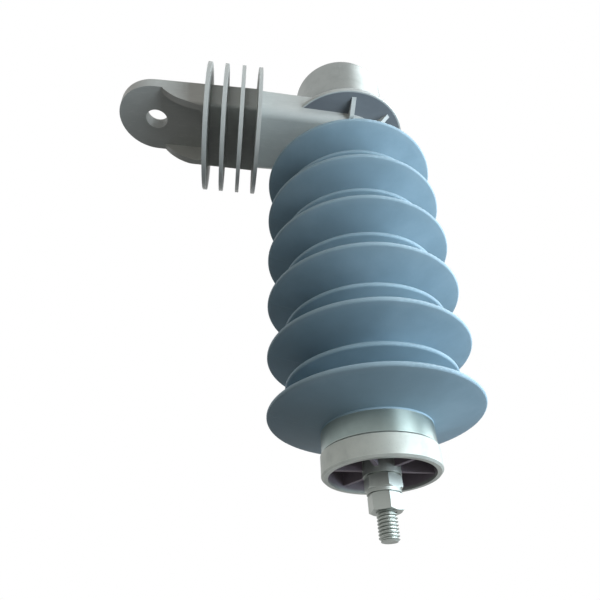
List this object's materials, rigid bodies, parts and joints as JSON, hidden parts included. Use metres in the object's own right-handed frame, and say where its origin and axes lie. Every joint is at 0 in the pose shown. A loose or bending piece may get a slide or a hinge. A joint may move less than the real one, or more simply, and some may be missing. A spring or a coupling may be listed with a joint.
{
  "type": "distribution surge arrester",
  "caption": "Polymer-housed distribution surge arrester with alternating sheds, stud terminals, a disconnector can and a finned insulating bracket with a bolt hole.",
  "frame": {"origin": "centre of the bracket's bolt hole, on the flat face of the lug that seats on the crossarm iron", "axes": "+Z along the bolt hole and parallel to the arrester's axis, from the line terminal towards the disconnector; +X from the bolt hole to the arrester's axis"},
  "size_m": [0.218, 0.11, 0.3621],
  "materials": {
    "bracket_polyester": "moulded, light grey",
    "silicone_rubber": "satin, blue-grey",
    "glass_laminate": "machined laminate",
    "plain_aluminium": "turned",
    "cast_aluminium": "die cast, satin",
    "drawn_aluminium": "drawn, satin",
    "zinc_oxide_ceramic": "glass-collared, metallised faces",
    "resistor_ceramic": "fired",
    "zinc_plated_steel": "zinc plated",
    "spring_steel": "oiled",
    "plain_brass": "turned",
    "moulded_insulation": "moulded, black",
    "seal_rubber": "moulded"
  },
  "bodies": {
    "root": {"insulating_bracket": "bracket_polyester", "polymer_housing": "silicone_rubber", "fibreglass_tube": "glass_laminate", "line_contact_plate": "plain_aluminium", "varistor_disc_1": "zinc_oxide_ceramic", "varistor_disc_2": "zinc_oxide_ceramic", "varistor_disc_3": "zinc_oxide_ceramic", "varistor_disc_4": "zinc_oxide_ceramic", "varistor_disc_5": "zinc_oxide_ceramic", "stack_spacer": "plain_aluminium", "spring_plate": "zinc_plated_steel", "disc_springs": "spring_steel", "earth_end_fitting": "cast_aluminium", "line_end_fitting": "cast_aluminium", "earth_seal_ring": "seal_rubber", "line_seal_ring": "seal_rubber", "line_stud": "zinc_plated_steel", "line_washer": "zinc_plated_steel", "line_nut": "zinc_plated_steel", "earth_stud": "zinc_plated_steel", "hub_washer": "zinc_plated_steel", "hub_nut": "zinc_plated_steel", "disconnector_can": "drawn_aluminium", "disconnector_base": "moulded_insulation", "disconnector_insert": "plain_brass", "disconnector_resistor": "resistor_ceramic", "disconnector_cartridge": "plain_brass", "disconnector_contact_spring": "spring_steel", "disconnector_bush": "moulded_insulation", "ground_stud": "zinc_plated_steel", "ground_washer": "zinc_plated_steel", "ground_spring_washer": "spring_steel", "ground_nut": "zinc_plated_steel"}
  },
  "joints": []
}
